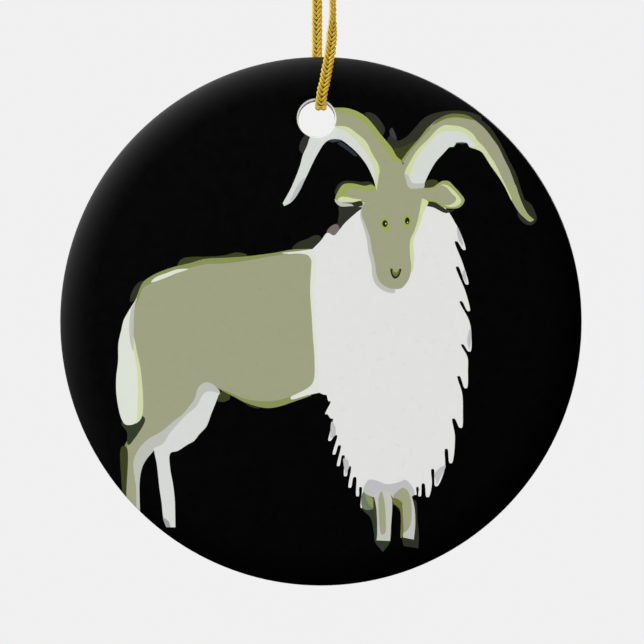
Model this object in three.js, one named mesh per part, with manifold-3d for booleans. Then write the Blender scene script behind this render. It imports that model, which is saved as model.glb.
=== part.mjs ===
// Round hanging ornament: a glazed ceramic disc with a printed front face, on a loop of flat braided cord.
//
// Millimetres, +Z up. The printed face looks towards -Y. The origin is the hang point, where a hook holds
// the loop in the crotch under its knot. The disc hangs below it, on the bight of the cord through its hole.

import * as THREE from "three";
import { mergeVertices } from "three/addons/utils/BufferGeometryUtils.js";
import Module from "manifold-3d";

// Disc. A fired blank, a little taller than it is wide, flat on both faces with a soft round edge.
const DISC_WIDTH = 72.5;
const DISC_HEIGHT = 73.5;
const DISC_THICKNESS = 4;
const EDGE_ROUND_WIDTH = 4.5; // how far the round edge reaches in over the face
const EDGE_BAND = 1; // height of the straight band round the rim
const DISC_SEGMENTS = 96;
const EDGE_STEPS = 9;

// Hanging hole, with a softened edge on both faces.
const HOLE_DIAMETER = 5.1;
const HOLE_EDGE_RADIUS = 0.4;
const HOLE_BELOW_RIM = 8.55; // from the top of the rim down to the hole's centre
const HOLE_OFFSET = -0.6; // sideways from the disc's own centreline
const HOLE_SEGMENTS = 40;
const HOLE_STEPS = 4;

// Printed film on the front face. It stops short of the hole's wall and part way down the rim's band.
const FILM_THICKNESS = 0.1;
const FILM_SEAT = 0.02; // clearance between the film and the glaze that it lies on
const FILM_HOLE_MARGIN = 0.2; // bare glaze between the hole's wall and the film, all round
const FILM_ON_BAND = 0.35; // how much of the rim's band the film covers

// Flat braided cord.
const CORD_WIDTH = 1.6;
const CORD_THICKNESS = 1;
const CORD_SIDES = 8;
const CORD_STEP = 1.4; // length of one step of a tube
const CORD_GAP = 0.3; // between two stretches of the cord that are separate solids

// The disc's place: its hole hangs this far below the hang point.
const HOLE_BELOW_HANG = 26;

// The cord's centreline from the hang point down the front, through the hole and up the back.
const ROUTE = [
  [0.5, -0.74, 0],
  [0.72, -0.86, -2],
  [1.05, -1.07, -4.5],
  [1.4, -1.34, -7],
  [1.62, -1.64, -9.5],
  [1.64, -1.95, -12],
  [1.52, -2.24, -14.5],
  [1.24, -2.5, -17],
  [0.85, -2.68, -19.2],
  [0.5, -2.78, -21.1],
  [0.2, -2.82, -22.5],
  [0.07, -2.66, -23.4],
  [0.02, -2.06, -24.1],
  [0, -1.22, -24.33],
  [0, 0, -24.33],
  [0, 1.22, -24.33],
  [-0.02, 2.06, -24.1],
  [-0.06, 2.66, -23.4],
  [-0.13, 2.82, -22.5],
  [-0.28, 2.78, -21.1],
  [-0.42, 2.68, -19.2],
  [-0.52, 2.5, -17],
  [-0.54, 2.24, -14.5],
  [-0.54, 1.95, -12],
  [-0.54, 1.64, -9.5],
  [-0.53, 1.34, -7],
  [-0.52, 1.07, -4.5],
  [-0.51, 0.86, -2],
  [-0.5, 0.74, 0],
];
// The bight is the middle of the route, below this height; the front and back strands are the rest.
const BIGHT_TOP = -16.3;

// The two free ends above the knot, each from the knot outwards.
const FRONT_TAIL = [
  [0.75, -0.35, 5.6],
  [1.35, -0.5, 7.4],
  [2.25, -0.55, 9.4],
  [3.1, -0.5, 11.6],
];
const BACK_TAIL = [
  [-0.7, 0.35, 5.6],
  [-1.2, 0.45, 7.6],
  [-1.75, 0.5, 9.8],
  [-2.6, 0.4, 12.4],
];

// Overhand knot in the doubled cord, as a closed solid of its outer shape.
const KNOT_WIDTH = 5.6;
const KNOT_DEPTH = 4.6;
const KNOT_HEIGHT = 5.3;
const KNOT_SEGMENTS = 24;
const KNOT_STEPS = 10;
const KNOT_FLAT = 0.9; // radius of the knot's flat ends, where the cord enters and leaves

// Places worked out from the sizes above.
const HOLE_Z = -HOLE_BELOW_HANG;
const DISC_Z = HOLE_Z + HOLE_BELOW_RIM - DISC_HEIGHT / 2;
const EDGE_DROP = (DISC_THICKNESS - EDGE_BAND) / 2;

const wasm = await Module();
wasm.setup();

const glazeWhite = new THREE.MeshStandardMaterial({
  color: 0xf2f2ee,
  roughness: 0.18,
  metalness: 0,
});
const printBlack = new THREE.MeshStandardMaterial({
  color: 0x060606,
  roughness: 0.3,
  metalness: 0,
});
const cordGold = new THREE.MeshStandardMaterial({
  color: 0xd4b04a,
  roughness: 0.35,
  metalness: 0.9,
});

function solidOf(geometry) {
  const bare = geometry.clone();
  bare.deleteAttribute("normal");
  bare.deleteAttribute("uv");
  const merged = mergeVertices(bare, 1e-4);
  return new wasm.Manifold(
    new wasm.Mesh({
      numProp: 3,
      vertProperties: merged.attributes.position.array,
      triVerts: new Uint32Array(merged.index.array),
    }),
  );
}

function geometryOf(solid) {
  const { vertProperties, triVerts } = solid.getMesh();
  const geometry = new THREE.BufferGeometry();
  geometry.setAttribute("position", new THREE.BufferAttribute(vertProperties, 3));
  geometry.setIndex(new THREE.BufferAttribute(triVerts, 1));
  return geometry;
}

// Lathe profiles are (radius, depth) points, turned about the Y axis from the front's side to the back's.

// The quarter-ellipse of the round edge, from the flat face out to the band, lifted off the glaze by lift.
function roundEdge(rim, face, drop, lift) {
  const points = [];
  for (let i = 0; i <= EDGE_STEPS; i++) {
    const turn = (i / EDGE_STEPS) * (Math.PI / 2);
    points.push(
      new THREE.Vector2(
        rim - EDGE_ROUND_WIDTH + (EDGE_ROUND_WIDTH + lift) * Math.sin(turn),
        face - drop + (drop + lift) * Math.cos(turn),
      ),
    );
  }
  return points;
}

// The lathe runs on the disc's height, and its width follows by a scale across.
function fitToWidth(geometry) {
  return geometry.scale(DISC_WIDTH / DISC_HEIGHT, 1, 1);
}

function discBlank() {
  const rim = DISC_HEIGHT / 2;
  const face = DISC_THICKNESS / 2;
  const edge = roundEdge(rim, face, EDGE_DROP, 0);
  const profile = [
    new THREE.Vector2(0, -face),
    ...edge.map((p) => new THREE.Vector2(p.x, -p.y)),
    ...edge.toReversed(),
    new THREE.Vector2(0, face),
  ];
  return fitToWidth(new THREE.LatheGeometry(profile, DISC_SEGMENTS));
}

// The hole's cutter: a cylinder that flares at both faces, so that it leaves a rounded edge.
function holeCutter() {
  const radius = HOLE_DIAMETER / 2;
  const face = DISC_THICKNESS / 2;
  const beyond = 1;
  const flare = [];
  for (let i = 0; i <= HOLE_STEPS; i++) {
    const turn = (i / HOLE_STEPS) * (Math.PI / 2);
    flare.push(
      new THREE.Vector2(
        radius + HOLE_EDGE_RADIUS * (1 - Math.sin(turn)),
        face - HOLE_EDGE_RADIUS * (1 - Math.cos(turn)),
      ),
    );
  }
  const wide = radius + HOLE_EDGE_RADIUS;
  const profile = [
    new THREE.Vector2(0, -face - beyond),
    new THREE.Vector2(wide, -face - beyond),
    ...flare.map((p) => new THREE.Vector2(p.x, -p.y)),
    ...flare.toReversed(),
    new THREE.Vector2(wide, face + beyond),
    new THREE.Vector2(0, face + beyond),
  ];
  return new THREE.LatheGeometry(profile, HOLE_SEGMENTS);
}

// Plain cylinder that keeps the film clear of the hole.
function filmHoleCutter() {
  const radius = HOLE_DIAMETER / 2 + FILM_HOLE_MARGIN;
  const length = DISC_THICKNESS * 2;
  return new THREE.CylinderGeometry(radius, radius, length, HOLE_SEGMENTS);
}

function cutAtHole(blank, cutter) {
  const hole = cutter.translate(HOLE_OFFSET, 0, HOLE_Z);
  const placed = blank.translate(0, 0, DISC_Z);
  return geometryOf(solidOf(placed).subtract(solidOf(hole)));
}

// The film's shell: its outer and inner skins follow the face and its round edge, and meet on the band.
function filmBlank() {
  const rim = DISC_HEIGHT / 2;
  const face = DISC_THICKNESS / 2;
  const outer = FILM_SEAT + FILM_THICKNESS;
  const skirt = EDGE_BAND / 2 - FILM_ON_BAND;
  const top = roundEdge(rim, face, EDGE_DROP, outer);
  const under = roundEdge(rim, face, EDGE_DROP, FILM_SEAT);
  const profile = [
    new THREE.Vector2(0, face + FILM_SEAT),
    ...under,
    new THREE.Vector2(rim + FILM_SEAT, skirt),
    new THREE.Vector2(rim + outer, skirt),
    ...top.toReversed(),
    new THREE.Vector2(0, face + outer),
  ];
  return fitToWidth(new THREE.LatheGeometry(profile, DISC_SEGMENTS)).rotateZ(Math.PI);
}

// A stretch of a longer curve, with frames that keep the section's wide side across the X axis.
class Stretch extends THREE.Curve {
  constructor(whole, from, to) {
    super();
    this.whole = whole;
    this.from = from;
    this.to = to;
  }

  getPoint(t, target = new THREE.Vector3()) {
    const along = this.from + (this.to - this.from) * t;
    return this.whole.getPointAt(along / this.whole.getLength(), target);
  }

  computeFrenetFrames(steps) {
    const frames = { tangents: [], normals: [], binormals: [] };
    for (let i = 0; i <= steps; i++) {
      const tangent = this.getTangentAt(i / steps);
      const across = new THREE.Vector3(1, 0, 0);
      across.addScaledVector(tangent, -across.dot(tangent)).normalize();
      frames.tangents.push(tangent);
      frames.normals.push(across);
      frames.binormals.push(new THREE.Vector3().crossVectors(tangent, across));
    }
    return frames;
  }
}

function curveThrough(points) {
  const corners = points.map((p) => new THREE.Vector3(...p));
  return new THREE.CatmullRomCurve3(corners, false, "centripetal");
}

// A tube of the cord's oval section along part of a curve, between two lengths along it.
function cordTube(curve, from, to) {
  const section = new THREE.Shape();
  for (let i = 0; i < CORD_SIDES; i++) {
    const turn = ((i + 0.5) / CORD_SIDES) * Math.PI * 2;
    const x = (CORD_WIDTH / 2) * Math.cos(turn);
    const y = (CORD_THICKNESS / 2) * Math.sin(turn);
    if (i === 0) section.moveTo(x, y);
    else section.lineTo(x, y);
  }
  section.closePath();
  return new THREE.ExtrudeGeometry(section, {
    steps: Math.ceil((to - from) / CORD_STEP),
    extrudePath: new Stretch(curve, from, to),
    bevelEnabled: false,
  });
}

// The length along a curve at which it first passes a height, looking from the given end.
function lengthAtHeight(curve, height, fromEnd) {
  const total = curve.getLength();
  const looks = 600;
  for (let i = 0; i <= looks; i++) {
    const share = fromEnd ? 1 - i / looks : i / looks;
    if (curve.getPointAt(share).z <= height) return share * total;
  }
  return total / 2;
}

// The knot's outer shape: a barrel between the two flats where the doubled cord enters and leaves.
function knotShape() {
  const middle = KNOT_HEIGHT / 2;
  const profile = [new THREE.Vector2(0, -middle)];
  for (let i = 0; i <= KNOT_STEPS; i++) {
    const turn = (i / KNOT_STEPS - 0.5) * Math.PI;
    profile.push(
      new THREE.Vector2(
        KNOT_FLAT + (KNOT_WIDTH / 2 - KNOT_FLAT) * Math.cos(turn),
        middle * Math.sin(turn),
      ),
    );
  }
  profile.push(new THREE.Vector2(0, middle));
  return new THREE.LatheGeometry(profile, KNOT_SEGMENTS)
    .rotateX(Math.PI / 2)
    .scale(1, KNOT_DEPTH / KNOT_WIDTH, 1)
    .translate(0, 0, middle + CORD_GAP / 2);
}

const ornament = new THREE.Group();

function add(name, geometry, material) {
  const mesh = new THREE.Mesh(geometry, material);
  mesh.name = name;
  ornament.add(mesh);
}

add("ceramic_disc", cutAtHole(discBlank(), holeCutter()), glazeWhite);
add("printed_film", cutAtHole(filmBlank(), filmHoleCutter()), printBlack);

const loop = curveThrough(ROUTE);
const loopLength = loop.getLength();
const frontJoin = lengthAtHeight(loop, BIGHT_TOP, false);
const backJoin = lengthAtHeight(loop, BIGHT_TOP, true);
const halfGap = CORD_GAP / 2;
add("cord_front_strand", cordTube(loop, halfGap, frontJoin - halfGap), cordGold);
add("cord_bight", cordTube(loop, frontJoin + halfGap, backJoin - halfGap), cordGold);
add("cord_back_strand", cordTube(loop, backJoin + halfGap, loopLength - halfGap), cordGold);

add("cord_knot", knotShape(), cordGold);
const tails = { cord_front_tail: FRONT_TAIL, cord_back_tail: BACK_TAIL };
for (const [name, points] of Object.entries(tails)) {
  const tail = curveThrough(points);
  add(name, cordTube(tail, CORD_GAP, tail.getLength()), cordGold);
}

export default ornament;
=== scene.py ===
"""Round glazed ceramic ornament with a printed goat, hung on a loop of flat gold braid."""

import math

import bmesh
import bpy
import numpy as np
from bpy.props import FloatProperty, FloatVectorProperty, IntProperty, PointerProperty
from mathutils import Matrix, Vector
from mathutils.geometry import delaunay_2d_cdt


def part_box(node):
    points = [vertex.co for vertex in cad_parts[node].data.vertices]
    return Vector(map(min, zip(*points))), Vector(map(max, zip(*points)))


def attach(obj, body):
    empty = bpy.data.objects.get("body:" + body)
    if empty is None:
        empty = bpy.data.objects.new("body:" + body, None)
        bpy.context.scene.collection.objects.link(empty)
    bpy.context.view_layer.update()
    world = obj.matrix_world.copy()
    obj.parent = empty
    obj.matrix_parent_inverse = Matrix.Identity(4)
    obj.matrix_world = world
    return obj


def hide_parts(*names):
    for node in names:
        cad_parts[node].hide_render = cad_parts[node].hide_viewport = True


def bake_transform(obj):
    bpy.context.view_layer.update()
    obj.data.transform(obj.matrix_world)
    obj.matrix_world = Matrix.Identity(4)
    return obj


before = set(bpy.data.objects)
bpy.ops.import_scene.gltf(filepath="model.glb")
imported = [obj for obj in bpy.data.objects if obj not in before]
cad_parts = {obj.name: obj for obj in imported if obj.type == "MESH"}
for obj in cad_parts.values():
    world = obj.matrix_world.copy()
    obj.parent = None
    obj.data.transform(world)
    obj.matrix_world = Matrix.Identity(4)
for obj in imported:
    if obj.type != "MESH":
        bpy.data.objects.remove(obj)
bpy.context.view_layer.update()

bl_info = {
    "name": "Ceramic Disc Ornament",
    "version": (1, 0, 0),
    "blender": (4, 5, 0),
    "location": "View3D > Sidebar > Ornament",
    "description": "Builds a printed ceramic disc ornament on a braided cord",
    "category": "Object",
}

MM = 0.001

DISC_LOW, DISC_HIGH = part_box("ceramic_disc")
DISC_CENTRE = (DISC_LOW + DISC_HIGH) / 2


def srgb(code):
    """A hex colour as linear red, green and blue."""
    parts = [int(code[i : i + 2], 16) / 255 for i in (1, 3, 5)]
    return tuple(c / 12.92 if c <= 0.04045 else ((c + 0.055) / 1.055) ** 2.4 for c in parts)


def length_prop(name, description, default):
    return FloatProperty(
        name=name, description=description, default=default, min=0.0, unit="LENGTH", precision=5
    )


def ink_prop(name, description, code):
    return FloatVectorProperty(
        name=name, description=description, default=srgb(code), subtype="COLOR", size=3, min=0, max=1
    )


class DiscSizes(bpy.types.PropertyGroup):
    """Sizes of the ceramic blank and the film on its face."""

    width: length_prop("Width", "Disc across", DISC_HIGH.x - DISC_LOW.x)
    height: length_prop("Height", "Disc from top to bottom", DISC_HIGH.z - DISC_LOW.z)
    thickness: length_prop("Thickness", "Front face to back face", DISC_HIGH.y - DISC_LOW.y)
    edge_round: length_prop("Edge round", "How far the round edge reaches in", 4.5 * MM)
    edge_band: length_prop("Edge band", "Straight band round the rim", 1 * MM)
    hole: length_prop("Hole", "Hanging hole across", 5.1 * MM)
    hole_round: length_prop("Hole edge", "Radius of the hole's soft edge", 0.4 * MM)
    hole_x: length_prop("Hole sideways", "Hole centre left of the middle", 0.6 * MM)
    hole_below: length_prop("Hole below top", "Hole centre below the rim", 8.55 * MM)
    film_margin: length_prop("Bare ring", "Bare glaze round the hole", 0.2 * MM)
    film_stand: length_prop("Film stand", "Ink surface above the glaze", 0.09 * MM)
    film_depth: length_prop("Film thickness", "Thickness of the ink film", 0.07 * MM)
    film_skirt: length_prop("Film skirt", "Ink on the rim's band", 0.35 * MM)
    glaze: ink_prop("Glaze", "White glaze of the blank", "#efefec")


class PrintInks(bpy.types.PropertyGroup):
    """Inks of the printed picture."""

    ground: ink_prop("Ground", "Black ground", "#020202")
    sage: ink_prop("Sage", "Coat, face and ears", "#9b9f7e")
    fleece: ink_prop("Fleece", "Long fleece", "#dddddb")
    horn: ink_prop("Horn", "Inner horns", "#d0d5cf")
    bone: ink_prop("Bone", "Tail and highlights", "#d9dcd1")
    leg: ink_prop("Leg", "Inside of the hind leg", "#d2d4d1")
    grey: ink_prop("Grey", "Edge shading of pale parts", "#b9bbb3")
    cool_grey: ink_prop("Cool grey", "Shading of legs and fleece", "#b9b9bb")
    foot_grey: ink_prop("Foot grey", "Shading of the feet", "#999a9c")
    shin: ink_prop("Shin", "Front legs", "#bdbfb6")
    lime: ink_prop("Lime", "Bright rim of horns and ears", "#98a554")
    moss: ink_prop("Moss", "Rim along the back and belly", "#85904f")
    pale_lime: ink_prop("Pale lime", "Inner rim of horns and ears", "#ccd4a2")
    soft_lime: ink_prop("Soft lime", "Tip of the right horn", "#9ca572")
    olive_lime: ink_prop("Olive lime", "Top of the right horn", "#6d742e")
    olive: ink_prop("Olive", "Dark olive shade", "#3c4119")
    bronze: ink_prop("Bronze", "Brownish shade round the pale parts", "#2f3124")
    forest: ink_prop("Forest", "Dark green shade at the feet", "#303c28")
    slate: ink_prop("Slate", "Blue shade on the left horn", "#272f3c")
    mauve: ink_prop("Mauve", "Dusty violet shade", "#74686a")
    dusk: ink_prop("Dusk", "Dark bluish grey specks", "#3a3a44")
    fern: ink_prop("Fern", "Grey green lock at the front leg", "#6a785e")
    pupil: ink_prop("Pupil", "Eyes and nose", "#20260c")
    glint: ink_prop("Glint", "Light in the eyes", "#c9cf9a")


class CordSizes(bpy.types.PropertyGroup):
    """Sizes and colours of the flat braid."""

    width: length_prop("Width", "Braid across", 1.6 * MM)
    depth: length_prop("Thickness", "Braid through", 0.76 * MM)
    yarn: length_prop("Yarn", "One foil-wrapped yarn across", 0.34 * MM)
    plait: length_prop("Plait length", "Length in which a yarn crosses and comes back", 3.9 * MM)
    step: length_prop("Step", "Length of one step along the cord", 0.13 * MM)
    yarns: IntProperty(name="Yarns", description="Yarns in the braid", default=6, min=3, max=16)
    gold: ink_prop("Gold", "Foil of the yarns", "#ffd04a")
    # The core colour is painted shade: a dark brown that darkens the gaps between the yarns, where shade
    # falls.
    core: ink_prop("Core", "Filler yarns inside the braid", "#5a3d0c")


# ---------------------------------------------------------------- small tools


def add_node(tree, kind, inputs=None, **settings):
    """One node with its settings, and its inputs set or linked by name or number."""
    node = tree.nodes.new(kind)
    for key, value in settings.items():
        setattr(node, key, value)
    for key, value in (inputs or {}).items():
        if isinstance(value, bpy.types.NodeSocket):
            tree.links.new(value, node.inputs[key])
        else:
            node.inputs[key].default_value = value
    return node


def mixed(tree, factor, *colours):
    """The blend of two colours, each given as a value or a socket."""
    node = add_node(tree, "ShaderNodeMix", {"Factor": factor}, data_type="RGBA")
    for colour, socket in zip(colours, [s for s in node.inputs if s.type == "RGBA"]):
        if isinstance(colour, bpy.types.NodeSocket):
            tree.links.new(colour, socket)
        else:
            socket.default_value = colour
    return next(s for s in node.outputs if s.type == "RGBA")


def new_material(name):
    """An empty material with its tree and output."""
    material = bpy.data.materials.new(name)
    material.use_nodes = True
    material.node_tree.nodes.clear()
    tree = material.node_tree
    return material, tree, add_node(tree, "ShaderNodeOutputMaterial")


def link_object(name, mesh, *materials):
    """An object at the origin that carries the mesh and its materials."""
    piece = bpy.data.objects.new(name, mesh)
    bpy.context.scene.collection.objects.link(piece)
    for material in materials:
        mesh.materials.append(material)
    return piece


def rgba(colour):
    return (*colour, 1.0)


# ---------------------------------------------------------------- camera

VIEW_WIDTH = 89.4 * MM  # what the frame takes in at the printed face
LENS = 150.0
SENSOR = 36.0


class ORNAMENT_OT_camera(bpy.types.Operator):
    """Add the camera, straight in front of the printed face"""

    bl_idname = "ornament.camera"
    bl_label = "Camera"

    def execute(self, context):
        data = bpy.data.cameras.new("camera")
        data.lens, data.sensor_width = LENS, SENSOR
        data.clip_start, data.clip_end = 0.01, 20
        camera = bpy.data.objects.new("camera", data)
        away = VIEW_WIDTH * LENS / SENSOR
        camera.location = (0.15 * MM, DISC_LOW.y - away, DISC_CENTRE.z - 0.1 * MM)
        camera.rotation_euler = (math.radians(90), 0, 0)
        context.scene.collection.objects.link(camera)
        context.scene.camera = camera
        return {"FINISHED"}


# ---------------------------------------------------------------- cord

# The cord's centreline from the hang point down the front, through the hole and up the back, in metres.
ROUTE = [
    (0.5e-3, -0.74e-3, 0),
    (0.72e-3, -0.86e-3, -2e-3),
    (1.05e-3, -1.07e-3, -4.5e-3),
    (1.4e-3, -1.34e-3, -7e-3),
    (1.62e-3, -1.64e-3, -9.5e-3),
    (1.64e-3, -1.95e-3, -12e-3),
    (1.52e-3, -2.24e-3, -14.5e-3),
    (1.24e-3, -2.5e-3, -17e-3),
    (0.85e-3, -2.68e-3, -19.2e-3),
    (0.5e-3, -2.78e-3, -21.1e-3),
    (0.2e-3, -2.82e-3, -22.5e-3),
    (0.07e-3, -2.66e-3, -23.4e-3),
    (0.02e-3, -2.06e-3, -24.1e-3),
    (0, -1.22e-3, -24.33e-3),
    (0, 0, -24.33e-3),
    (0, 1.22e-3, -24.33e-3),
    (-0.02e-3, 2.06e-3, -24.1e-3),
    (-0.06e-3, 2.66e-3, -23.4e-3),
    (-0.13e-3, 2.82e-3, -22.5e-3),
    (-0.28e-3, 2.78e-3, -21.1e-3),
    (-0.42e-3, 2.68e-3, -19.2e-3),
    (-0.52e-3, 2.5e-3, -17e-3),
    (-0.54e-3, 2.24e-3, -14.5e-3),
    (-0.54e-3, 1.95e-3, -12e-3),
    (-0.54e-3, 1.64e-3, -9.5e-3),
    (-0.53e-3, 1.34e-3, -7e-3),
    (-0.52e-3, 1.07e-3, -4.5e-3),
    (-0.51e-3, 0.86e-3, -2e-3),
    (-0.5e-3, 0.74e-3, 0),
]
FRONT_TAIL = [
    (0.75e-3, -0.35e-3, 5.6e-3),
    (1.35e-3, -0.5e-3, 7.4e-3),
    (2.25e-3, -0.55e-3, 9.4e-3),
    (3.1e-3, -0.5e-3, 11.6e-3),
]
BACK_TAIL = [
    (-0.7e-3, 0.35e-3, 5.6e-3),
    (-1.2e-3, 0.45e-3, 7.6e-3),
    (-1.75e-3, 0.5e-3, 9.8e-3),
    (-2.6e-3, 0.4e-3, 12.4e-3),
]
SPLIT_Z = -5.6 * MM  # the braid is cut here, because the stretches above and below move differently
EDGE_TURN = math.radians(68)  # how far the front strand turns towards its narrow side
BACK_TURN = math.radians(-24)  # and the back strand, a little the other way
PLAIT_START = 0.3 * MM  # found by trial: keeps the yarns' outermost turns off the edge of the hole
FRONT_TURN_ZONE = (-15.6 * MM, -11.8 * MM)  # heights between which a strand turns
BACK_TURN_ZONE = (-20.5 * MM, -16.5 * MM)
CURVE_STEPS = 24  # places worked out between two points of a route
LEAST_KNOT = 1e-3  # keeps the curve's formula sound where two points meet
X_WAY, Y_WAY, Z_WAY = Vector((1, 0, 0)), Vector((0, 1, 0)), Vector((0, 0, 1))


def ease(low, high, value):
    """0 below low, 1 above high, and smooth between."""
    share = min(1.0, max(0.0, (value - low) / (high - low)))
    return share * share * (3 - 2 * share)


def strand_across(point, front):
    """The way the braid's wide side lies at a point of a hanging strand."""
    if front:
        turn = EDGE_TURN * ease(*FRONT_TURN_ZONE, point.z)
    else:
        turn = BACK_TURN * ease(*BACK_TURN_ZONE, point.z)
    return X_WAY * math.cos(turn) + Y_WAY * math.sin(turn)


KNOT_X, KNOT_Y = 2.05, 1.6  # half width and half depth of the turn round the knot, in mm
KNOT_TOP, KNOT_DROP = 4.05, 2.7  # where that turn starts above the hang point, and how far it falls
KNOT_POINTS = 13


def knot_run(side):
    """One strand's way through the overhand knot, from the bottom up: up the middle, out at the
    top, once round the outside, in at the bottom and up the middle inside that turn. side is -1
    for the front strand and 1 for the back one."""
    lift = 0.5 * side
    run = [
        ((-0.22 - 0.27 * side, 0.6 * side, 0.9), X_WAY),
        ((-0.55, 0.52 * side, 2.2), X_WAY),
        ((-0.55, 0.5 * side, 3.4 + 0.6 * lift), X_WAY),
        ((-0.48, -0.32 + 0.16 * side, 4.2 + 0.9 * lift), X_WAY + Z_WAY * 0.15),
        ((-0.78, -1.12, 4.25 + lift), X_WAY * 0.6 - Y_WAY * 0.35 + Z_WAY * 0.7),
    ]
    for i in range(KNOT_POINTS):
        share = i / (KNOT_POINTS - 1)
        angle = math.radians(135 + 405 * share)
        height = KNOT_TOP - KNOT_DROP * share + lift
        run.append(((KNOT_X * math.cos(angle), -KNOT_Y * math.sin(angle), height), Z_WAY))
    run += [
        ((-1.72, 0.62, 1.15 + 0.9 * lift), Z_WAY),
        ((-1.0, 1.08, 1.0 + 0.8 * lift), Z_WAY),
        ((-0.15, 1.22, 0.98 + 0.7 * lift), Z_WAY - X_WAY * 0.1),
        ((0.58, 0.98, 1.2 + 0.6 * lift), Z_WAY - X_WAY * 0.6),
        ((0.86, 0.5 + 0.12 * side, 1.8 + 0.4 * lift), -X_WAY + Z_WAY * 0.3),
        ((0.8, 0.15 + 0.3 * side, 2.7 + 0.2 * lift), -X_WAY),
        ((0.65, 0.4 * side, 3.7), -X_WAY),
        ((0.25 - 0.4 * side, 0.38 * side, 4.7), -X_WAY),
    ]
    return [(Vector(place) * MM, across) for place, across in run]


def along_curve(p0, p1, p2, p3, steps):
    """Places from p1 towards p2 on the centripetal Catmull-Rom curve through four points."""
    t1 = max(LEAST_KNOT, math.sqrt((p1 - p0).length))
    t2 = t1 + max(LEAST_KNOT, math.sqrt((p2 - p1).length))
    t3 = t2 + max(LEAST_KNOT, math.sqrt((p3 - p2).length))
    places = []
    for k in range(steps):
        t = t1 + (t2 - t1) * k / steps
        a1 = p0 * ((t1 - t) / t1) + p1 * (t / t1)
        a2 = p1 * ((t2 - t) / (t2 - t1)) + p2 * ((t - t1) / (t2 - t1))
        a3 = p2 * ((t3 - t) / (t3 - t2)) + p3 * ((t - t2) / (t3 - t2))
        b1 = a1 * ((t2 - t) / t2) + a2 * (t / t2)
        b2 = a2 * ((t3 - t) / (t3 - t1)) + a3 * ((t - t1) / (t3 - t1))
        places.append(b1 * ((t2 - t) / (t2 - t1)) + b2 * ((t - t1) / (t2 - t1)))
    return places


def sample(points, step):
    """Even samples along a smooth curve through (place, across) pairs, with the two ways of the
    braid at each: across its wide side, and out of its flat face."""
    places = [p for p, _ in points]
    ends = [places[0] * 2 - places[1], *places, places[-1] * 2 - places[-2]]
    fine, ways = [], []
    for i in range(len(points) - 1):
        for k, place in enumerate(along_curve(*ends[i : i + 4], CURVE_STEPS)):
            fine.append(place)
            ways.append(points[i][1].lerp(points[i + 1][1], k / CURVE_STEPS))
    fine.append(places[-1])
    ways.append(points[-1][1])
    along = [0.0]
    for a, b in zip(fine, fine[1:]):
        along.append(along[-1] + (b - a).length)
    count = max(2, round(along[-1] / step))
    marks = np.linspace(0, along[-1], count + 1)
    place = np.array([np.interp(marks, along, [p[j] for p in fine]) for j in range(3)]).T
    guess = np.array([np.interp(marks, along, [w[j] for w in ways]) for j in range(3)]).T
    tangent = np.gradient(place, axis=0)
    tangent /= np.linalg.norm(tangent, axis=1, keepdims=True)
    across = guess - (guess * tangent).sum(1, keepdims=True) * tangent
    across /= np.linalg.norm(across, axis=1, keepdims=True)
    return place, across, np.cross(tangent, across), marks


YARN_CORNER = 0.95  # how sharply a yarn turns back at the braid's edge
UNEVEN_LENGTH = 0.9 * MM  # length over which a yarn wanders off its line
UNEVEN_REACH = 0.17 * MM
FRAY_LENGTH = 1.3 * MM  # the loose stretch at a cut end
FRAY_SPREAD = 0.45


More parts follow.
